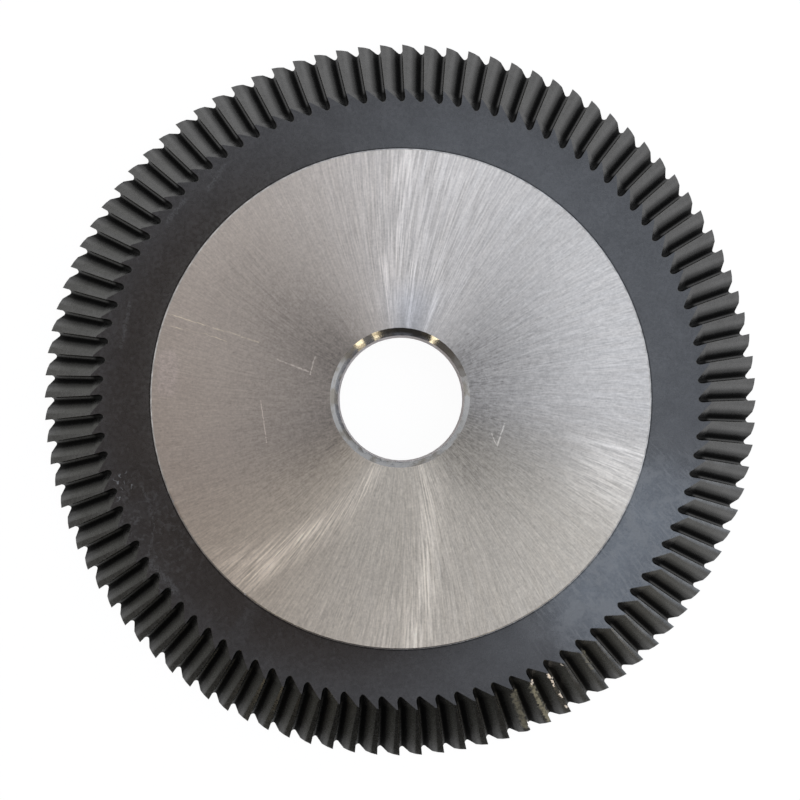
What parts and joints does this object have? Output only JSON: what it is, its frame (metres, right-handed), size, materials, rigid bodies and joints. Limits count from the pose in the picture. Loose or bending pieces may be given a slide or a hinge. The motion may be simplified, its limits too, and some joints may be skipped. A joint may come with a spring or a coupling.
{
  "type": "key cutting wheel",
  "caption": "Flat steel disc cutter for key duplicating machines, with hooked teeth milled round one bevelled rim, a round arbor bore and ground hub faces.",
  "frame": {"origin": "centre of the arbor bore, on the wheel's centre plane", "axes": "+Z along the bore towards the bevelled face, which lies up; +X and +Y as right and up in the picture"},
  "size_m": [0.0738, 0.0738, 0.005],
  "materials": {
    "tool_steel": "black oxide on the rim and teeth, hub faces, bore and chamfers ground bright"
  },
  "bodies": {
    "root": {"cutting_wheel": "tool_steel"}
  },
  "joints": []
}
